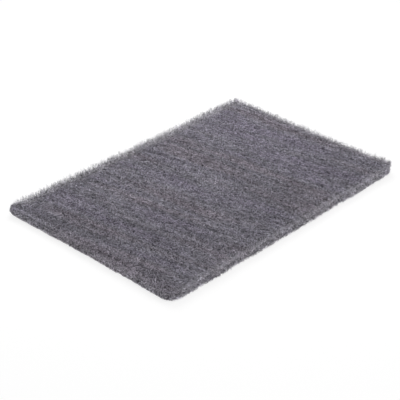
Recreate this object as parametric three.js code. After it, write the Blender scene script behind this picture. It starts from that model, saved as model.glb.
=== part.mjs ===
// Sanding pad: one flat hand sheet of lofty bonded fibre web, coated with grit, lying on one face.
// Units are millimetres. X runs along the sheet, Y across it and Z up, from the middle of the underside.

import * as THREE from 'three';
import { LoftGeometry } from 'three/addons/geometries/LoftGeometry.js';

// The sheet
const LENGTH = 229;
const WIDTH = 152;
const THICKNESS = 7.2;

// The cut edges: the blade rounds them over, and its cross cuts press the two short ends down
const EDGE_ROUND = 1.5;
const END_THICKNESS = 5.4;
const END_ROLL = 5; // from the rounded edge of a short end, in to where the web has its full loft

// The corners in plan, where two of them have worn rounder in the hand
const BACK_LEFT_RADIUS = 4;
const BACK_RIGHT_RADIUS = 3;
const FRONT_RIGHT_RADIUS = 6;
const FRONT_LEFT_RADIUS = 8.5;

// How far the middle of a cut side has drawn in behind its corners; the front side is straight
const LEFT_DRAW = 0.8;
const RIGHT_DRAW = 1.2;
const BACK_DRAW = 0.9;

// Fineness of the facets
const CORNER_STEPS = 8;
const SIDE_STEPS = 14;
const EDGE_STEPS = 5;
const ROLL_STEPS = 5;
const SHARPEST_CORNER = 0.3;

// Finish
const FIBRE_GREY = 0x6c6971;
const FIBRE_ROUGHNESS = 1;

// The rounding of an edge takes at most half of the web that it rounds
const edgeRound = Math.min( EDGE_ROUND, THICKNESS / 2, END_THICKNESS / 2 );

// Corners anticlockwise from the front right, each with the angle at which its arc starts
const corners = [
	{ x: 1, y: - 1, radius: FRONT_RIGHT_RADIUS, start: - Math.PI / 2 },
	{ x: 1, y: 1, radius: BACK_RIGHT_RADIUS, start: 0 },
	{ x: - 1, y: 1, radius: BACK_LEFT_RADIUS, start: Math.PI / 2 },
	{ x: - 1, y: - 1, radius: FRONT_LEFT_RADIUS, start: Math.PI },
];

function cornerArc( corner, inset ) {

	const radius = Math.max( corner.radius - inset, SHARPEST_CORNER );
	const x = corner.x * ( LENGTH / 2 - inset - radius );
	const y = corner.y * ( WIDTH / 2 - inset - radius );
	return new THREE.EllipseCurve( x, y, radius, radius, corner.start, corner.start + Math.PI / 2 );

}

// The plan outline, drawn in by inset all round. Points along a side bunch towards its corners.
function planOutline( inset ) {

	const points = [];

	corners.forEach( ( corner, i ) => {

		const arc = cornerArc( corner, inset ).getPoints( CORNER_STEPS );
		const nextArc = cornerArc( corners[ ( i + 1 ) % corners.length ], inset );
		const side = new THREE.LineCurve( arc.at( - 1 ), nextArc.getPoint( 0 ) );
		points.push( ...arc );

		for ( let step = 1; step < SIDE_STEPS; step ++ ) {

			points.push( side.getPoint( ( 1 - Math.cos( Math.PI * step / SIDE_STEPS ) ) / 2 ) );

		}

	} );

	return points;

}

// Height of the upper face, pressed down towards the two short ends
function loft( x ) {

	const fromRoundedEdge = LENGTH / 2 - edgeRound - Math.abs( x );
	const pressed = THREE.MathUtils.clamp( 1 - fromRoundedEdge / END_ROLL, 0, 1 );
	return THICKNESS - ( THICKNESS - END_THICKNESS ) * pressed ** 2;

}

// Sides draw in between their corners, most at the middle of the side
function drawnIn( x, y, z ) {

	const alongX = 2 * x / LENGTH;
	const alongY = 2 * y / WIDTH;
	const endDraw = x < 0 ? LEFT_DRAW : RIGHT_DRAW;
	const sideDraw = y < 0 ? 0 : BACK_DRAW;
	return new THREE.Vector3(
		x - alongX * endDraw * ( 1 - alongY ** 2 ),
		y - alongY * sideDraw * ( 1 - alongX ** 2 ),
		z,
	);

}

// One ring round the web: its plan inset, and its height as a function of the upper face's height
function ring( inset, heightUnder ) {

	return planOutline( inset ).map( ( { x, y } ) => drawnIn( x, y, heightUnder( loft( x ) ) ) );

}

function fibreWeb() {

	const rings = [];

	// Rounded lower edge, from the flat underside up to the cut wall
	for ( let step = 0; step <= EDGE_STEPS; step ++ ) {

		const turn = Math.PI / 2 * step / EDGE_STEPS;
		rings.push( ring( edgeRound * ( 1 - Math.sin( turn ) ), () => edgeRound * ( 1 - Math.cos( turn ) ) ) );

	}

	// Rounded upper edge, from the cut wall over to the upper face
	for ( let step = 0; step <= EDGE_STEPS; step ++ ) {

		const turn = Math.PI / 2 * step / EDGE_STEPS;
		const inset = edgeRound * ( 1 - Math.cos( turn ) );
		rings.push( ring( inset, ( top ) => top - edgeRound * ( 1 - Math.sin( turn ) ) ) );

	}

	// Upper face, in across the pressed ends to where it lies flat
	for ( let step = 1; step <= ROLL_STEPS; step ++ ) {

		rings.push( ring( edgeRound + END_ROLL * step / ROLL_STEPS, ( top ) => top ) );

	}

	const mesh = new THREE.Mesh(
		new LoftGeometry( rings, { capStart: true, capEnd: true } ),
		new THREE.MeshStandardMaterial( { color: FIBRE_GREY, roughness: FIBRE_ROUGHNESS, metalness: 0 } ),
	);
	mesh.name = 'fibre_web';
	return mesh;

}

const sandingPad = new THREE.Group();
sandingPad.name = 'sanding_pad';
sandingPad.add( fibreWeb() );

export default sandingPad;
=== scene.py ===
# %% [markdown]
# # A sanding pad of bonded fibre
# The real pad is one sheet of nonwoven web: crimped nylon fibres, a few hundredths of a millimetre thick,
# thrown into a loose mat, bonded by resin and coated with fine grit. Nothing is woven or sewn.
# Its look comes from three things: dark pores between the fibres, pale fibres that lie over them, and the
# fuzzy edge that a cutting blade leaves. So there are seven pieces here: a pitted mat, three layers of
# fibres on its two faces, and the loops, cut ends and hairs of its edge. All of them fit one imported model.
# The stage is measured in metres, as Blender's own lengths are. On the pad itself a plain length is in
# millimetres, and one that is multiplied by MM is in metres.

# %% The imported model
import math
import random

import bmesh
import bpy
import numpy as np
from mathutils import Matrix, Quaternion, Vector, noise
from mathutils.bvhtree import BVHTree


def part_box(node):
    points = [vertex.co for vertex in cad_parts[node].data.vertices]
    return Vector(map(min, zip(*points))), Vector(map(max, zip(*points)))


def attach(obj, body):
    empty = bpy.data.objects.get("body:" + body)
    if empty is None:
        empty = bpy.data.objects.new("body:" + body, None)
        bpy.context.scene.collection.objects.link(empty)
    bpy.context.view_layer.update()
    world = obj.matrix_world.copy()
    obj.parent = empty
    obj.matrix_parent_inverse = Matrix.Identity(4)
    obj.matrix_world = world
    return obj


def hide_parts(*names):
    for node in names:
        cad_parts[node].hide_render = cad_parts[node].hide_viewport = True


MM = 0.001
BODY = "root"
WEB_NODE = "fibre_web"

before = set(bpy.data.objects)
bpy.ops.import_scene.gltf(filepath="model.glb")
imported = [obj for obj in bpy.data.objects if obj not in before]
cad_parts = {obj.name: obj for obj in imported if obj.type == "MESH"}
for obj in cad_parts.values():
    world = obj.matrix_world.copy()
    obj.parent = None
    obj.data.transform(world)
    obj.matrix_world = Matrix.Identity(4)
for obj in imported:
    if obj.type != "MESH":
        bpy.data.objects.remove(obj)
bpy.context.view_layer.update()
web_low, web_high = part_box(WEB_NODE)
web_size = web_high - web_low
web_middle = (web_low + web_high) / 2
print("web, mm:", [round(side / MM, 2) for side in web_size])

# %% [markdown]
# ## The camera
# The pad lies on a table and is seen from above one corner. The lens is long, so the far edges shrink only
# a little. A camera could be placed by hand in the viewport, but angles and a distance can be set against
# the photo one by one. They give a place on a sphere round the pad, and the same helper places the lamps
# later. Azimuth 0 looks along +Y, and a positive azimuth walks round towards +X.
# The focal length is given in pixels of the picture, and the sensor's width turns it into millimetres.

# %% Camera
VIEW_AZIMUTH = -47.12
VIEW_ELEVATION = 30.58
VIEW_ROLL = 0.57
VIEW_DISTANCE = 0.9030
VIEW_AIM = Vector((-0.0112, -0.0024, 0.0))
LENS_PIXELS = 1318
PICTURE_PIXELS = 400
SENSOR_WIDTH = 36


def way_from_middle(azimuth, elevation):
    """The direction from the pad to a place on a sphere round it, from two angles in degrees."""
    a = math.radians(azimuth)
    e = math.radians(elevation)
    return Vector((math.sin(a) * math.cos(e), -math.cos(a) * math.cos(e), math.sin(e)))


def facing(way, roll=0.0):
    """A rotation whose own -Z axis looks back along way, with up as level as the roll allows."""
    turned = Matrix.Rotation(math.radians(roll), 3, "Z")
    return (-way).to_track_quat("-Z", "Y").to_matrix() @ turned


def add_camera():
    data = bpy.data.cameras.new("camera")
    data.sensor_width = SENSOR_WIDTH
    data.lens = LENS_PIXELS / PICTURE_PIXELS * SENSOR_WIDTH
    camera = bpy.data.objects.new("camera", data)
    way = way_from_middle(VIEW_AZIMUTH, VIEW_ELEVATION)
    place = Matrix.Translation(VIEW_AIM + way * VIEW_DISTANCE)
    camera.matrix_world = place @ facing(way, VIEW_ROLL).to_4x4()
    bpy.context.scene.collection.objects.link(camera)
    bpy.context.scene.camera = camera
    return camera


camera = add_camera()
print("camera at, mm:", [round(c / MM) for c in camera.location], "lens", round(camera.data.lens, 1))

# %% [markdown]
# ## Node helpers
# Every finish below is a small tree of nodes. Such a tree could be drawn in the node editor, but a script
# builds the same one each time. Two helpers keep it short: one adds a node with its settings and inputs,
# and the other starts a material with an empty tree.

# %% Node helpers


def add_node(tree, kind, inputs=None, **settings):
    """A new node. An input that is itself a socket is linked, and any other is set as a value."""
    node = tree.nodes.new(kind)
    for name, value in settings.items():
        setattr(node, name, value)
    for key, value in (inputs or {}).items():
        if isinstance(value, bpy.types.NodeSocket):
            tree.links.new(value, node.inputs[key])
        else:
            node.inputs[key].default_value = value
    return node


def new_material(name):
    material = bpy.data.materials.new(name)
    material.use_nodes = True
    tree = material.node_tree
    tree.nodes.clear()
    return material, tree


# %% [markdown]
# ## The table
# The pad lies on a white table. A lit white floor is never quite white in a picture, and more light would
# bleach the pad. So for rays that come from the camera, a reflection or glass, the floor is mostly a plain
# white glow, with a little of its lit surface mixed in. For all other rays it is a white surface, which
# throws light up at the pad's cut edges. The pad's shadow stays as faint as soft studio light makes it.

# %% Floor
FLOOR_SIDE = 12.0
FLOOR_WHITE = 0.86
FLOOR_GLOW = 0.72
GLOW_STRENGTH = 1.1


def seen_by_eye(tree):
    """A socket that is 1 for rays from the camera, a reflection or glass, and 0 for the rest."""
    path = add_node(tree, "ShaderNodeLightPath")
    seen = add_node(tree, "ShaderNodeMath",
                    {0: path.outputs["Is Camera Ray"], 1: path.outputs["Is Glossy Ray"]},
                    operation="MAXIMUM")
    seen = add_node(tree, "ShaderNodeMath",
                    {0: seen.outputs[0], 1: path.outputs["Is Transmission Ray"]},
                    operation="MAXIMUM")
    return seen.outputs[0]


def floor_finish():
    material, tree = new_material("white_table")
    table = add_node(tree, "ShaderNodeBsdfDiffuse", {"Color": (FLOOR_WHITE, FLOOR_WHITE, FLOOR_WHITE, 1)})
    share = add_node(tree, "ShaderNodeMath", {0: seen_by_eye(tree), 1: FLOOR_GLOW}, operation="MULTIPLY")
    glow = add_node(tree, "ShaderNodeEmission", {"Strength": GLOW_STRENGTH})
    both = add_node(tree, "ShaderNodeMixShader",
                    {0: share.outputs[0], 1: table.outputs[0], 2: glow.outputs[0]})
    add_node(tree, "ShaderNodeOutputMaterial", {"Surface": both.outputs[0]})
    return material


def add_floor():
    shape = bmesh.new()
    bmesh.ops.create_grid(shape, x_segments=1, y_segments=1, size=FLOOR_SIDE / 2)
    mesh = bpy.data.meshes.new("floor")
    shape.to_mesh(mesh)
    shape.free()
    mesh.materials.append(floor_finish())
    floor = bpy.data.objects.new("floor", mesh)
    bpy.context.scene.collection.objects.link(floor)
    return floor


floor = add_floor()
print("floor, m:", [round(side, 1) for side in floor.dimensions])

# %% [markdown]
# ## The light
# The light is a studio's: soft, and nearly even. One large lamp could give it, but then the sides of the
# pad could not be lit apart. Here an even white sky fills in from everywhere, and three lamps add to it. A
# softbox close above and behind the pad lights its face, and the far part of it most. One on the right
# lights the long cut wall, and a fill on the left lights the short one. Real light also seeps through the
# loose web, which the closed mat would stop, so that fill throws no shadow.

# %% Light
SKY_LEVEL = 0.47
BACKDROP_LEVEL = 1.0
WHITE = (1, 1, 1, 1)
LAMPS = {
    "back_softbox": {"azimuth": 145, "elevation": 52, "distance": 0.35, "side": 0.3, "watts": 1.05},
    "right_softbox": {"azimuth": 30, "elevation": 25, "distance": 1.4, "side": 0.8, "watts": 5.4},
    "left_fill": {"azimuth": -85, "elevation": 18, "distance": 1.6, "side": 1.0, "watts": 4.2,
                  "shadow": False},
}


def add_sky():
    """An even white sky, which the camera sees as a plain white backdrop."""
    world = bpy.data.worlds.new("studio")
    world.use_nodes = True
    tree = world.node_tree
    tree.nodes.clear()
    sky = add_node(tree, "ShaderNodeBackground", {"Color": WHITE, "Strength": SKY_LEVEL})
    backdrop = add_node(tree, "ShaderNodeBackground", {"Color": WHITE, "Strength": BACKDROP_LEVEL})
    shown = add_node(tree, "ShaderNodeMixShader",
                     {0: seen_by_eye(tree), 1: sky.outputs[0], 2: backdrop.outputs[0]})
    add_node(tree, "ShaderNodeOutputWorld", {"Surface": shown.outputs[0]})
    bpy.context.scene.world = world


def add_softbox(name, azimuth, elevation, distance, side, watts, shadow=True):
    data = bpy.data.lights.new(name, "AREA")
    data.shape = "SQUARE"
    data.size = side
    data.energy = watts
    data.use_shadow = shadow
    lamp = bpy.data.objects.new(name, data)
    way = way_from_middle(azimuth, elevation)
    lamp.matrix_world = Matrix.Translation(web_middle + way * distance) @ facing(way).to_4x4()
    bpy.context.scene.collection.objects.link(lamp)


add_sky()
for lamp_name, lamp_values in LAMPS.items():
    add_softbox(lamp_name, **lamp_values)
bpy.context.scene.view_settings.view_transform = "Standard"
print("lamps:", list(LAMPS))

# %% [markdown]
# ## The skin of the web
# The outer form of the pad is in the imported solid: a sheet with rounded edges and pressed ends. Pores need
# far more points than it has. Subdividing would round its edges, and its long thin faces would stay long
# and thin. So a voxel remesh of a merged copy covers it with an even grid of faces, about a millimetre
# wide, and keeps the form. Two search trees then find the nearest place on this skin and on its walls.

# %% Smooth skin
VOXEL = 0.98 * MM
MERGE_REACH = 0.001 * MM
WALL_TILT = 0.3


def new_piece(name, data):
    piece = bpy.data.objects.new(name, data)
    bpy.context.scene.collection.objects.link(piece)
    return piece


def evaluated_mesh(piece):
    """The piece's mesh with its modifiers applied."""
    graph = bpy.context.evaluated_depsgraph_get()
    return bpy.data.meshes.new_from_object(piece.evaluated_get(graph))


def smooth_skin():
    shape = bmesh.new()
    shape.from_mesh(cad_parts[WEB_NODE].data)
    bmesh.ops.remove_doubles(shape, verts=shape.verts, dist=MERGE_REACH)
    start = bpy.data.meshes.new("smooth_skin")
    shape.to_mesh(start)
    shape.free()
    piece = new_piece("smooth_skin", start)
    remesh = piece.modifiers.new("even_faces", "REMESH")
    remesh.mode = "VOXEL"
    remesh.voxel_size = VOXEL
    mesh = evaluated_mesh(piece)
    bpy.data.objects.remove(piece)
    return mesh


def point_vectors(mesh, name):
    """A row for each point of the mesh: its place, "co", or the way out of the mesh there, "normal"."""
    vectors = np.empty(len(mesh.vertices) * 3)
    mesh.vertices.foreach_get(name, vectors)
    return vectors.reshape(-1, 3)


def move_points(mesh, places):
    mesh.vertices.foreach_set("co", np.array(places, np.float32).ravel())
    mesh.update()


def search_trees(mesh):
    """Trees that find the nearest place on the whole skin, and on its upright walls alone."""
    places = point_vectors(mesh, "co").tolist()
    faces = [tuple(face.vertices) for face in mesh.polygons]
    upright = [tuple(face.vertices) for face in mesh.polygons if abs(face.normal.z) < WALL_TILT]
    return BVHTree.FromPolygons(places, faces), BVHTree.FromPolygons(places, upright)


web_mesh = smooth_skin()
skin, walls = search_trees(web_mesh)
skin_points = point_vectors(web_mesh, "co")
print("skin:", len(web_mesh.polygons), "faces, mm:", np.round(np.ptp(skin_points, axis=0) / MM, 2))

# %% [markdown]
# ## The wandering edge
# A blade that cuts a springy web wanders a little, and corners get bent in the hand. On this pad the sides
# run less than a millimetre out of true. The left corner leans out at its top, the back one is drawn in,
# and the right one is blunt and lifts off the table. A lattice could bend the corners, but it would bend
# the flat face too. A shift that is worked out for each point fades away from the edge and the corner.

# %% Wandering edge
WANDER = 0.9
WANDER_WIDTH = 16 * MM
EDGE_ROOM = 10 * MM
RISE_REACH = 30
CORNER_WARPS = {
    (-1, 1): {"reach": 16, "top_out": 4.0, "foot_out": -0.8, "rise": 0.0},
    (1, 1): {"reach": 16, "top_out": -1.2, "foot_out": -1.2, "rise": 0.0},
    (1, -1): {"reach": 9, "top_out": -4.8, "foot_out": -4.6, "rise": 1.4},
}


def blend(start, end, share):
    return start + (end - start) * share


def near_corner(point, sides, reach):
    """1 at a corner of the pad, fading smoothly to 0 at its reach."""
    corner = web_middle + Vector((sides[0] * web_size.x, sides[1] * web_size.y, 0)) / 2
    near = max(0.0, 1 - (Vector(point) - corner).xy.length / MM / reach)
    return near * near * (3 - 2 * near)


def corner_shift(point):
    """How far out and how far up a corner has warped at a point near it, in millimetres."""
    height = (point[2] - web_low.z) / web_size.z
    out = 0.0
    up = 0.0
    for sides, warp in CORNER_WARPS.items():
        warp_out = blend(warp["foot_out"], warp["top_out"], height)
        out += warp_out * near_corner(point, sides, warp["reach"])
        up += warp["rise"] * near_corner(point, sides, RISE_REACH)
    return out, up


def edge_shift(point):
    """How far a point near a cut edge is moved, in metres: the blade wanders, and corners warp."""
    _, outward, _, away = walls.find_nearest(point)
    out, up = corner_shift(point)
    out += WANDER * noise.noise(Vector((point[0], point[1], 0)) / WANDER_WIDTH)
    out *= max(0.0, 1 - away / EDGE_ROOM)
    return Vector((outward.x * out, outward.y * out, up)) * MM


move_points(web_mesh, [Vector(point) + edge_shift(point) for point in skin_points])
skin, walls = search_trees(web_mesh)
skin_points = point_vectors(web_mesh, "co")
print("skin with its edges, mm:", np.round(np.ptp(skin_points, axis=0) / MM, 2))

# %% [markdown]
# ## Loose rims
# Near a cut edge the web has sprung open. The bonded mat lies deeper there, and the fibres over it are bare
# of resin and paler. The far sides are looser than the near ones, the two short ends were pressed as they
# were cut, and the foot of every wall has opened least. The pale rim is partly bare fibre and partly painted
# light: full on the far rims, weaker on the near sides and weakest on the near short end, painted as more in
# shade. This could be painted as weights on one mesh. Functions of a place do more: the mat, the fibres and
# the marks for the finish all ask them, and so they agree.

# %% Loose rims
NEAR_RIM_WIDTH = 6.5
FAR_RIM_WIDTH = 10.5
NEAR_RIM_SINK = 2.6
FAR_RIM_SINK = 4.6
END_SINK = 0.5
RIM_CURVE = 2
PRESSED_END = 0.2
PRESSED_SIDE = 0.45
LOOSE_FROM = 5.4 * MM
LOOSE_CURVE = 3
# Painted shade: the near sides keep only this share of the pale rim, and the near short end less still.
NEAR_BARE_AND_LIT = 0.65
END_BARE_AND_LIT = 0.7
CORNER_FIRM = 0.45
FIRM_REACH = 24


def clipped(share):
    return min(max(share, 0.0), 1.0)


def nearest_wall(point):
    """The way out of the nearest cut wall, and how far away that wall is, in millimetres."""
    _, outward, _, away = walls.find_nearest(point)
    return outward, away / MM


def between(near, far, outward):
    """The near value for the walls that face -X or -Y, the far one for those that face +X or +Y."""
    return blend(near, far, clipped((1 + outward.x + outward.y) / 2))


def rim_at(point):
    """1 at the cut wall, fading to 0 a few millimetres in from it. The point is in metres."""
    outward, away = nearest_wall(point)
    return max(0.0, 1 - away / between(NEAR_RIM_WIDTH, FAR_RIM_WIDTH, outward))


def bare_and_lit_at(point):
    """How pale the rim is: partly bare of resin and partly painted light, full at the far rims, weaker at
    the near ones, and 0 away from the cut edge.
    """
    outward, _ = nearest_wall(point)
    near_bare_and_lit = NEAR_BARE_AND_LIT * blend(1, END_BARE_AND_LIT, abs(outward.x))
    return rim_at(point) * between(near_bare_and_lit, 1.0, outward)


def spring_at(point):
    """How freely the web springs open at a point: least at the table, where the blade pressed it down."""
    outward, _ = nearest_wall(point)
    pressed = blend(PRESSED_END, PRESSED_SIDE, abs(outward.y))
    share = clipped((point[2] - web_low.z) / LOOSE_FROM)
    return blend(pressed, 1, share ** LOOSE_CURVE)


def rim_sink(point):
    """How much deeper the mat lies near a cut edge, where the web has sprung open, in millimetres."""
    outward, _ = nearest_wall(point)
    depth = between(NEAR_RIM_SINK, FAR_RIM_SINK, outward) * blend(1, END_SINK, abs(outward.x))
    firm = max(near_corner(point, sides, FIRM_REACH) for sides in CORNER_WARPS)
    return depth * rim_at(point) ** RIM_CURVE * spring_at(point) * (1 - CORNER_FIRM * firm)


for rim_name, rim_y in (("near", web_low.y), ("far", web_high.y)):
    print(rim_name, "long rim sinks, mm:", round(rim_sink((web_middle.x, rim_y, web_high.z)), 2))

# %% [markdown]
# ## Pores and the mat
# Under its loose fibres the web is a dense mat, full of pores that are drawn out along Y, with a slant, the
# way the fibres were carded. A slab with a bump map would look flat at a low angle and have a straight
# outline. So every point of the skin sinks along its normal: by a noise for the clumps, by a finer one for
# the pores, and further at the rims. The mat that this gives stands for the imported solid, and it carries
# two marks for its finish to read: how deep in a pore a point is, from which the finish paints shade into
# the pores, and how pale its rim is, partly for bare fibres and partly as painted light.

# %% Pores
CARDING_SLANT = math.radians(7.5)
DRAWN_OUT = 4.0
PORE_WIDTH = 1.4
PORE_START = 0.10


def carded(point):
    """The point in millimetres, with the direction that the fibres were carded in drawn together."""
    turned = Vector(point) / MM
    turned.rotate(Quaternion((0, 0, 1), -CARDING_SLANT))
    turned.y /= DRAWN_OUT
    return turned


def pit_at(point):
    """How deep a pore is at a point, from 0 where the mat is closed up. The point is in metres."""
    return max(0.0, noise.noise(carded(point) / PORE_WIDTH) - PORE_START)


pits = np.array([pit_at(point) for point in skin_points])
print("share of the skin in pores:", round(np.mean(pits > 0), 2), "deepest", round(pits.max(), 2))

# %% Sunk mat
CLUMP_WIDTH = 3.5
CLUMP_SMOOTHNESS = 0.9
CLUMP_STEP = 2.0
CLUMP_LAYERS = 3
MAT_SINK = 0.30
CLUMP_DEPTH = 0.15
PORE_DEPTH = 1.3
SHALLOWEST = 0.10
DEEPEST = 1.4


def sink_at(point):
    """How far the mat lies under the smooth skin at a point, in millimetres. The point is in metres."""
    clump = noise.fractal(carded(point) / CLUMP_WIDTH, CLUMP_SMOOTHNESS, CLUMP_STEP, CLUMP_LAYERS)
    depth = MAT_SINK + CLUMP_DEPTH * clump + PORE_DEPTH * pit_at(point)
    return min(max(depth, SHALLOWEST), DEEPEST) + rim_sink(point)


def store_values(mesh, name, values):
    attribute = mesh.attributes.new(name, "FLOAT", "POINT")
    attribute.data.foreach_set("value", np.array(values, np.float32))


def add_marks(mesh):
    """Stores how deep in a pore each point is, for painted shade, and how pale its rim is, partly bare of
    resin and partly painted light.
    """
    places = point_vectors(mesh, "co")
    store_values(mesh, "pit", [pit_at(place) for place in places])
    store_values(mesh, "bare", [bare_and_lit_at(place) for place in places])


sinks = np.array([sink_at(point) for point in skin_points])
mat_points = skin_points - point_vectors(web_mesh, "normal") * sinks[:, None] * MM
mat_points[:, 2] = np.maximum(mat_points[:, 2], web_low.z)
move_points(web_mesh, mat_points)
add_marks(web_mesh)
web = new_piece("fibre_mat", web_mesh)
print("mat sinks, mm:", round(sinks.min(), 2), "to", round(sinks.max(), 2), "mean", round(sinks.mean(), 2))

# %% [markdown]
# ## Fibres over the faces
# The pale strands on both faces are crimped fibres that rise out of the mat and dive back into it. Hair
# particles would leave no mesh behind, and lines in a texture would lie flat. So each fibre is a walk over
# the smooth skin that keeps turning a little: a bend of its own, its curl, and a new one at each step, its
# crimp. Most walks follow the carding. The upper face has two layers, so that no piece grows too heavy.

# %% Fibre walks
FIBRE_RADIUS = 0.13
FIBRE_STRIDE = 1.2
CRIMP_TURN = 0.22
CURL_TURN = 0.16
LIFT_JITTER = 0.05
PIT_SAG = 0.9


def skin_at(point):
    """The nearest place on the smooth skin, and the way out of it there."""
    place, out, _, _ = skin.find_nearest(point)
    return place, out


def above_table(point):
    """The point, raised if a fibre there would reach under the table's surface."""
    point.z = max(point.z, FIBRE_RADIUS * MM)
    return point


def laid_fibre(draw, start, heading, steps, arch, slack):
    """Points of a fibre that curls over the skin: rooted in the mat, and arch above the skin at its middle.
    Slack is how much of the mat's dip at a cut edge it follows, from 0 to 1."""
    place, out = skin_at(start)
    curl = draw.gauss(0, CURL_TURN)
    points = []
    for step in range(steps + 1):
        rise = math.sin(math.pi * step / steps)
        sag = PIT_SAG * pit_at(place) + slack * rim_sink(place)
        lift = (arch - sag) * rise - sink_at(place) * (1 - rise) + draw.gauss(0, LIFT_JITTER)
        points.append(above_table(place + out * lift * MM))
        heading = heading - out * heading.dot(out)
        heading.normalize()
        heading.rotate(Quaternion(out, curl + draw.gauss(0, CRIMP_TURN)))
        place, out = skin_at(place + heading * FIBRE_STRIDE * MM)
    return points


# %% Face fibres
CARDED_SPREAD = 0.26
FACE_STEPS = (5, 12)
FACE_SLACK = (0.95, 1.0)
UPPER_SEED = 11
UPPER_COUNT = 3600
UPPER_ARCH = (-0.1, 0.25)
FUZZ_SEED = 12
FUZZ_ARCH = (0.0, 0.35)
LOWER_SEED = 13
LOWER_COUNT = 2000
LOWER_ARCH = (-0.2, -0.05)


def carded_heading(draw):
    """A direction across the pad: mostly along Y, as the fibres were carded, and spread round it."""
    angle = math.pi / 2 + CARDING_SLANT + draw.gauss(0, CARDED_SPREAD)
    return Vector((math.cos(angle), math.sin(angle), 0))


def face_fibre(draw, level, arches):
    """A fibre on one face. Level is the height that its start is dropped from."""
    x = draw.uniform(web_low.x, web_high.x)
    y = draw.uniform(web_low.y, web_high.y)
    steps = draw.randint(*FACE_STEPS)
    arch = draw.uniform(*arches)
    heading = carded_heading(draw)
    return laid_fibre(draw, Vector((x, y, level)), heading, steps, arch, draw.uniform(*FACE_SLACK))


def grown(seed, count, grow, *details):
    """So many fibres of one kind, each from the function that grows one of them."""
    draw = random.Random(seed)
    return [grow(draw, *details) for _ in range(count)]


upper_fibres = grown(UPPER_SEED, UPPER_COUNT, face_fibre, web_high.z, UPPER_ARCH)
upper_fuzz = grown(FUZZ_SEED, UPPER_COUNT, face_fibre, web_high.z, FUZZ_ARCH)
lower_fibres = grown(LOWER_SEED, LOWER_COUNT, face_fibre, web_low.z, LOWER_ARCH)
print("face fibres:", len(upper_fibres), len(upper_fuzz), len(lower_fibres))

# %% [markdown]
# ## The cut edge
# A blade leaves three kinds of fibre along the edge. Some were only pulled and curl over the wall as loops,
# some end in the wall and lean out of it, and the finest stand up from its loose upper arris as fuzz. One
# kind of random hair would make the edge look like fur. Here each kind has a function that grows one fibre,
# from a place picked evenly round the pad. The loops are walks, like those of the faces. A cut end needs
# only three points: a root in the mat, a bend and a tip.

# %% Edge helpers
END_SWAY = 0.3
ROOT_ROOM = 0.3


def edge_start(draw, inward, height):
    """A place near the cut edge, picked evenly round the pad: so far in from its side, at such a height."""
    x = draw.uniform(web_low.x, web_high.x)
    y = draw.uniform(web_low.y, web_high.y)
    if draw.random() < web_size.x / (web_size.x + web_size.y):
        y = draw.choice((web_low.y + inward, web_high.y - inward))
    else:
        x = draw.choice((web_low.x + inward, web_high.x - inward))
    return skin_at(Vector((x, y, height)))


def sway(draw, reach):
    """A small random shift, in metres, from its usual reach in millimetres."""
    return Vector([draw.gauss(0, reach) for _ in range(3)]) * MM


def short_fibre(draw, place, out, tip):
    """A fibre of three points: a root in the mat under a place on the skin, a bend, and the tip."""
    root = place - out * (sink_at(place) + ROOT_ROOM) * MM
    middle = (root + tip) / 2 + sway(draw, END_SWAY)
    return [above_table(point) for point in (root, middle, tip)]


# %% Edge loops
ARRIS_ROOM = 2.0 * MM
EDGE_LOOPS = 2200
LOOP_SEED = 34
LOOP_STEPS = (3, 8)
LOOP_ARCH = (-0.6, 0.6)
LOOP_SLACK = (0.0, 0.4)
LOOP_TILT = 0.6


def edge_loop(draw):
    """A fibre that the blade only pulled: it curls over the wall and its arris."""
    inward = draw.uniform(0, ARRIS_ROOM)
    height = draw.uniform(web_low.z + inward, web_high.z + ARRIS_ROOM)
    place, _ = edge_start(draw, inward, height)
    heading = Vector((draw.gauss(0, 1), draw.gauss(0, 1), draw.gauss(0, LOOP_TILT)))
    arch = draw.uniform(*LOOP_ARCH) * spring_at(place)
    steps = draw.randint(*LOOP_STEPS)
    return laid_fibre(draw, place, heading, steps, arch, draw.uniform(*LOOP_SLACK))


edge_loops = grown(LOOP_SEED, EDGE_LOOPS, edge_loop)
print("edge loops:", len(edge_loops))

# %% Arris hairs
ARRIS_HAIRS = 12000
HAIR_SEED = 35
NEAR_HAIR_RISE = (0.1, 0.7)
FAR_HAIR_RISE = (0.5, 1.35)
HAIR_LEAN = (0.3, 0.6)
HAIR_SWAY = 0.5


def arris_hair(draw):
    """A cut end that stands up and outwards from the loose upper arris. Its rise and its lean are drawn
    from a mean and a spread."""
    place, out = edge_start(draw, draw.uniform(0, ARRIS_ROOM), web_high.z + ARRIS_ROOM)
    outward, _ = nearest_wall(place)
    rise = between(draw.gauss(*NEAR_HAIR_RISE), draw.gauss(*FAR_HAIR_RISE), outward)
    tip = place + (Vector((0, 0, rise)) + outward * draw.gauss(*HAIR_LEAN)) * MM
    return short_fibre(draw, place, out, tip + sway(draw, HAIR_SWAY))


arris_hairs = grown(HAIR_SEED, ARRIS_HAIRS, arris_hair)
print("arris hairs:", len(arris_hairs))

# %% Wall ends
WALL_ENDS = 7000
WALL_SEED = 16
WALL_REACH = (0.35, 0.45)
FOOT_CROWD = 1.6
WALL_SLACK = 1.2


def wall_end(draw):
    """A cut end that leans out of the wall, or hangs back where the mat has sunk. Most are low on it."""
    place, out = edge_start(draw, 0, web_low.z + web_size.z * draw.random() ** FOOT_CROWD)
    slack = draw.random() * min(rim_sink(place), WALL_SLACK)
    reach = draw.gauss(*WALL_REACH) * spring_at(place) - slack
    tip = place + out * reach * MM + sway(draw, END_SWAY) * spring_at(place)
    return short_fibre(draw, place, out, tip)


wall_ends = grown(WALL_SEED, WALL_ENDS, wall_end)
print("wall ends:", len(wall_ends))

# %% [markdown]
# ## From splines to meshes
# Each list of points becomes a spline, and one curve object holds thousands of them. A curve's own bevel
# makes tubes too, but it leaves the end caps loose and forgets which spline a face came from. Geometry
# nodes do better: they number the fibres, sweep a triangle along them and close both ends. Three sides are
# enough for a tube that is thinner than a pixel. The hairs are finer still, and narrow towards their tips.

# %% Sweep
FIBRE_SIDES = 3
HAIR_RADIUS = 0.088
HAIR_TIP = 0.6


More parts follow.
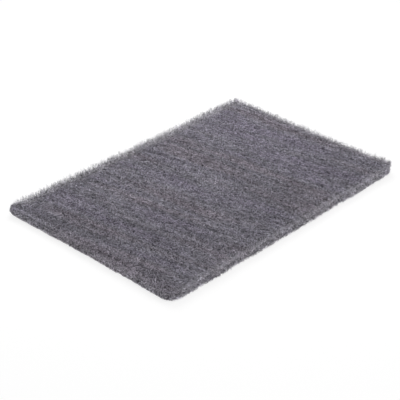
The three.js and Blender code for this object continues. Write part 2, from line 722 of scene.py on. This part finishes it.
def sweep_nodes(name, radius, tip_share):
    """A node group that sweeps a small triangle along every spline, and narrows it to a share at the tip."""
    group = bpy.data.node_groups.new(name, "GeometryNodeTree")
    group.interface.new_socket("Splines", in_out="INPUT", socket_type="NodeSocketGeometry")
    group.interface.new_socket("Mesh", in_out="OUTPUT", socket_type="NodeSocketGeometry")
    splines = add_node(group, "NodeGroupInput").outputs[0]
    number = add_node(group, "GeometryNodeInputIndex").outputs[0]
    along = add_node(group, "GeometryNodeSplineParameter").outputs["Factor"]
    numbered = add_node(group, "GeometryNodeStoreNamedAttribute",
                        {"Geometry": splines, "Name": "fibre", "Value": number},
                        data_type="INT", domain="CURVE")
    measured = add_node(group, "GeometryNodeStoreNamedAttribute",
                        {"Geometry": numbered.outputs[0], "Name": "along", "Value": along},
                        data_type="FLOAT", domain="POINT")
    triangle = add_node(group, "GeometryNodeCurvePrimitiveCircle",
                        {"Resolution": FIBRE_SIDES, "Radius": radius * MM})
    narrowing = add_node(group, "ShaderNodeMapRange", {"Value": along, "To Min": 1.0, "To Max": tip_share})
    tubes = add_node(group, "GeometryNodeCurveToMesh",
                     {"Curve": measured.outputs[0], "Profile Curve": triangle.outputs[0],
                      "Scale": narrowing.outputs[0], "Fill Caps": True})
    add_node(group, "NodeGroupOutput", {0: tubes.outputs[0]})
    return group


def swept(name, fibres, sweep):
    """One mesh of closed tubes, from a list of fibres, each a list of points."""
    curve = bpy.data.curves.new(name, "CURVE")
    curve.dimensions = "3D"
    for points in fibres:
        spline = curve.splines.new("POLY")
        spline.points.add(len(points) - 1)
        places = np.ones((len(points), 4), np.float32)
        places[:, :3] = points
        spline.points.foreach_set("co", places.ravel())
    splines = new_piece(name, curve)
    splines.modifiers.new("sweep", "NODES").node_group = sweep
    mesh = evaluated_mesh(splines)
    bpy.data.objects.remove(splines)
    return mesh


fibre_sweep = sweep_nodes("fibre_sweep", FIBRE_RADIUS, tip_share=1.0)
hair_sweep = sweep_nodes("hair_sweep", HAIR_RADIUS, tip_share=HAIR_TIP)
print("sweeps:", fibre_sweep.name, hair_sweep.name)

# %% [markdown]
# ## Shades and texture tiles
# No two fibres took up the same amount of resin and grit, so each has a shade of its own, drawn by its
# number. A finish that is to be baked needs a texture map on which no faces overlap. To unwrap thousands of
# tubes would take long, and it isn't needed: the number of a fibre picks a square tile on the map, and the
# way along and around the tube gives the place in that tile. A small skew keeps the end caps from becoming
# lines on the map.

# %% Fibre pieces
UV_MAP = "OFBake"
TILE_RIM = 0.12
CAP_SKEW = 0.04


def tile_places(number, along, around):
    """Texture places that give each fibre a square tile of its own, with a bare rim round it."""
    tiles = math.ceil(math.sqrt(number.max() + 1))
    corner = np.stack([number % tiles, number // tiles], axis=1)
    across = along * (1 - CAP_SKEW) + CAP_SKEW * (around == 1)
    inside = np.stack([across, around / (FIBRE_SIDES - 1)], axis=1)
    return (corner + TILE_RIM + (1 - 2 * TILE_RIM) * inside) / tiles


def attribute_values(mesh, name, kind):
    values = np.empty(len(mesh.vertices), kind)
    mesh.attributes[name].data.foreach_get("value", values)
    return values


def fibre_piece(name, fibres, sweep, finish, shade_seed):
    """A finished piece of many fibres: one mesh with its shades, its texture places and its marks."""
    mesh = swept(name, fibres, sweep)
    number = attribute_values(mesh, "fibre", np.int32)
    along = attribute_values(mesh, "along", np.float32)
    shades = np.random.default_rng(shade_seed).random(len(fibres))
    store_values(mesh, "shade", shades[number])
    corners = np.empty(len(mesh.loops), np.int32)
    mesh.loops.foreach_get("vertex_index", corners)
    places = tile_places(number, along, np.arange(len(number)) % FIBRE_SIDES)
    texture_map = mesh.uv_layers.new(name=UV_MAP)
    texture_map.uv.foreach_set("vector", places[corners].astype(np.float32).ravel())
    add_marks(mesh)
    mesh.shade_smooth()
    mesh.materials.append(finish)
    triangles = sum(len(face.vertices) - 2 for face in mesh.polygons)
    print(name, len(fibres), "fibres,", triangles, "triangles")
    return new_piece(name, mesh)


# %% [markdown]
# ## The tint of the web
# Resin and grit make the web dull, so its shaders are rough and barely shine. Up close its grey is not one
# grey. There are bluish and brownish patches about a centimetre wide and thin streaks, both drawn out along
# the carding, and a fine grain with more pale spots than dark ones. Over these the pores get painted shade,
# and the cut edge a paler rim, partly bare fibres and partly painted light. An image could hold all this,
# but noises on Object coordinates run on without a break from the mat into the fibres over it. The painted
# shade of the pores and the pale rim come from the marks that the meshes carry.

# %% Tint helpers
NOISE_LOW = 0.3
NOISE_HIGH = 0.7


def noise_at(tree, place, width, detail, output="Fac"):
    """A noise whose waves are about this wide. The place and the width are in millimetres."""
    return add_node(tree, "ShaderNodeTexNoise",
                    {"Vector": place, "Scale": 1 / width, "Detail": detail}).outputs[output]


def spread(tree, value, low, high, start=NOISE_LOW, end=NOISE_HIGH):
    """The value, stretched so that start becomes low and end becomes high. Without a start and an end, it
    stretches the part that a noise mostly fills."""
    return add_node(tree, "ShaderNodeMapRange",
                    {"Value": value, "From Min": start, "From Max": end,
                     "To Min": low, "To Max": high}).outputs[0]


def scaled(tree, colour, level):
    return add_node(tree, "ShaderNodeVectorMath", {0: colour, "Scale": level}, operation="SCALE").outputs[0]


def mark(tree, name):
    """A number that each point of the mesh carries."""
    return add_node(tree, "ShaderNodeAttribute", attribute_name=name).outputs["Fac"]


def place_in_mm(tree):
    """Object coordinates, in millimetres."""
    place = add_node(tree, "ShaderNodeTexCoord").outputs["Object"]
    return scaled(tree, place, 1 / MM)


def combed(tree, place, drawn):
    """The place, for a pattern that is drawn out so many times along the direction of the carding."""
    return add_node(tree, "ShaderNodeMapping",
                    {"Vector": place, "Rotation": (0, 0, CARDING_SLANT), "Scale": (1, drawn, 1)},
                    vector_type="TEXTURE").outputs[0]


# %% Tint of the web
PATCH_GREYS = {
    0.35: (0.1536, 0.1415, 0.1744, 1),
    0.50: (0.1483, 0.1425, 0.1650, 1),
    0.65: (0.1546, 0.1405, 0.1627, 1),
}
PATCH_WIDTH = 12.0
PATCH_DRAWN = 8.0
PATCH_DETAIL = 3
# Painted light: the rim's grey, paler than the web's, partly for bare fibres.
BARE_AND_LIT_GREY = (0.200, 0.1955, 0.2070, 1)
BARE_AND_LIT_FROM = 0.05
# Painted shade: how much darker the colour grows in the deepest pores.
PORE_PAINTED_SHADE = 0.60
DEEP_PIT = 0.4
STREAK_WIDTH = 2.8
STREAK_DRAWN = 16.0
STREAK_DETAIL = 2
STREAK_LEVELS = (0.78, 1.24)
GRAIN_WIDTH = 0.65
GRAIN_SKEW = 0.6
GRAIN_FROM = 0.08
PALEST_GRAIN = 1.77


def patch_greys(tree, place):
    patches = noise_at(tree, combed(tree, place, PATCH_DRAWN), PATCH_WIDTH, PATCH_DETAIL)
    ramp = add_node(tree, "ShaderNodeValToRGB", {"Fac": patches})
    stops = ramp.color_ramp.elements
    for position in list(PATCH_GREYS)[1:-1]:
        stops.new(position)
    for stop, (position, grey) in zip(stops, PATCH_GREYS.items()):
        stop.position = position
        stop.color = grey
    return ramp.outputs[0]


def web_tint(tree, place):
    """The colour of the web, before a finish makes it paler or darker."""
    # The pale rim: bare fibres, and painted light that is fullest on the far rims.
    bare = spread(tree, mark(tree, "bare"), 0, 1, BARE_AND_LIT_FROM, 1)
    bare_and_lit_colour = add_node(tree, "ShaderNodeMix",
                     {"Factor": bare, "A": patch_greys(tree, place), "B": BARE_AND_LIT_GREY}, data_type="RGBA")
    # Painted shade in the pores, on the mat and on the fibres that cross them.
    painted_pore_shade = spread(tree, mark(tree, "pit"), 1.0, PORE_PAINTED_SHADE, 0, DEEP_PIT)
    colour = scaled(tree, bare_and_lit_colour.outputs["Result"], painted_pore_shade)
    streaks = noise_at(tree, combed(tree, place, STREAK_DRAWN), STREAK_WIDTH, STREAK_DETAIL)
    colour = scaled(tree, colour, spread(tree, streaks, *STREAK_LEVELS))
    spots = add_node(tree, "ShaderNodeTexVoronoi", {"Vector": place, "Scale": 1 / GRAIN_WIDTH})
    grain = add_node(tree, "ShaderNodeSeparateColor", {"Color": spots.outputs["Color"]}).outputs[0]
    mostly_pale = add_node(tree, "ShaderNodeMath", {0: grain, 1: GRAIN_SKEW}, operation="POWER").outputs[0]
    return scaled(tree, colour, spread(tree, mostly_pale, 0, PALEST_GRAIN, GRAIN_FROM, 1))


# %% [markdown]
# ## Finishes of the fibres
# A fibre is coated with grit too fine to model, so a small bump and a changing roughness stand for it.
# Fibres over the faces are much alike in shade. Those of the cut edge, some of them bare of resin, range
# further and are often paler, and part of that paleness is painted light: the light that a loose cut edge
# catches from the floor and lets through. One material could read a second mark for that, but three short
# ones are clearer, each with the darkest and the palest level of its own fibres.

# %% Fibre finishes
DULL_SHINE = 0.2
GRIT_WIDTH = 0.12
GRIT_DETAIL = 2
GRIT_ROUGHNESS = (0.6, 0.95)
GRIT_BUMP = {"Strength": 0.4, "Distance": 0.02 * MM}


def add_shader(tree, colour, roughness, bump):
    shader = add_node(tree, "ShaderNodeBsdfPrincipled",
                      {"Base Color": colour, "Roughness": roughness,
                       "Specular IOR Level": DULL_SHINE, "Normal": bump.outputs[0]})
    add_node(tree, "ShaderNodeOutputMaterial", {"Surface": shader.outputs[0]})


def fibre_finish(name, darkest, palest):
    material, tree = new_material(name)
    place = place_in_mm(tree)
    level = spread(tree, mark(tree, "shade"), darkest, palest, 0, 1)
    colour = scaled(tree, web_tint(tree, place), level)
    grit = noise_at(tree, place, GRIT_WIDTH, GRIT_DETAIL)
    bump = add_node(tree, "ShaderNodeBump", {"Height": grit, **GRIT_BUMP})
    add_shader(tree, colour, spread(tree, grit, *GRIT_ROUGHNESS), bump)
    return material


fibre_coat = fibre_finish("grit_coated_fibre", darkest=1.85, palest=2.3)
# Painted light, partly: the cut fibres and hairs reach paler levels than the face fibres.
cut_coat = fibre_finish("cut_fibre", darkest=1.8, palest=3.8)
hair_coat = fibre_finish("lit_bare_cut_end", darkest=1.6, palest=3.6)
print("fibre finishes:", fibre_coat.name, cut_coat.name, hair_coat.name)

# %% [markdown]
# ## Finish of the mat
# Between the modelled fibres the mat shows more of them, matted together and in shade. Still more tubes
# would be too heavy for what is hardly seen. The edges between the cells of a Voronoi texture make a net of
# threads, and a noise that bends the coordinates takes away its straight lines. Two nets, a coarse one and
# a fine one, are laid over each other, and the same net is the height of a bump. The shade is painted into
# the colour: between the threads the mat is far darker than the modelled fibres, and its threads are
# only somewhat paler.

# %% Mat finish
# Painted shade: the mat's level of the web's tint, far below the fibres', and its threads' a little higher.
MAT_PAINTED_SHADE = 0.55
SHADED_THREAD_LEVEL = 2.2 * MAT_PAINTED_SHADE
MAT_ROUGHNESS = 0.9
COARSE_NET = 1.6
FINE_NET = 0.9
THREAD_EDGE = (0.02, 0.16)
THREAD_BUMP = {"Strength": 0.6, "Distance": 0.15 * MM}
NET_BEND = 2.5
BEND_WIDTH = 2.0
BEND_DETAIL = 2


def thread_net(tree, place, width):
    """1 on the threads of a net whose meshes are about this wide, and 0 between them."""
    cells = add_node(tree, "ShaderNodeTexVoronoi", {"Vector": place, "Scale": 1 / width},
                     feature="DISTANCE_TO_EDGE")
    return spread(tree, cells.outputs["Distance"], 1.0, 0.0, *THREAD_EDGE)


def mat_finish():
    material, tree = new_material("bonded_mat")
    place = place_in_mm(tree)
    bend = noise_at(tree, place, BEND_WIDTH, BEND_DETAIL, "Color")
    bent = add_node(tree, "ShaderNodeVectorMath", {0: bend, 1: (NET_BEND, NET_BEND, NET_BEND), 2: place},
                    operation="MULTIPLY_ADD").outputs[0]
    nets = {0: thread_net(tree, bent, COARSE_NET), 1: thread_net(tree, bent, FINE_NET)}
    threads = add_node(tree, "ShaderNodeMath", nets, operation="MAXIMUM").outputs[0]
    # Painted shade between the threads of the mat.
    level = spread(tree, threads, MAT_PAINTED_SHADE, SHADED_THREAD_LEVEL, 0, 1)
    colour = scaled(tree, web_tint(tree, place), level)
    bump = add_node(tree, "ShaderNodeBump", {"Height": threads, **THREAD_BUMP})
    add_shader(tree, colour, MAT_ROUGHNESS, bump)
    return material


web_mesh.materials.append(mat_finish())
web_mesh.shade_smooth()
print("mat finish:", web_mesh.materials[0].name)

# %% [markdown]
# ## Putting it together
# The pad is one rigid body, so every piece rides on it. They could be joined into one mesh, but pieces of a
# moderate size are easier to export. The mat stands in for the imported solid, whose form it keeps, and the
# solid is hidden.

# %% Pieces on the body
pieces = [
    web,
    fibre_piece("upper_fibres", upper_fibres, fibre_sweep, fibre_coat, shade_seed=21),
    fibre_piece("upper_fuzz", upper_fuzz, fibre_sweep, fibre_coat, shade_seed=22),
    fibre_piece("lower_fibres", lower_fibres, fibre_sweep, fibre_coat, shade_seed=23),
    fibre_piece("edge_loops", edge_loops, fibre_sweep, cut_coat, shade_seed=24),
    fibre_piece("arris_hairs", arris_hairs, hair_sweep, hair_coat, shade_seed=25),
    fibre_piece("wall_ends", wall_ends, fibre_sweep, cut_coat, shade_seed=26),
]
for piece in pieces:
    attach(piece, BODY)
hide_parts(WEB_NODE)
print("pieces:", [piece.name for piece in pieces])
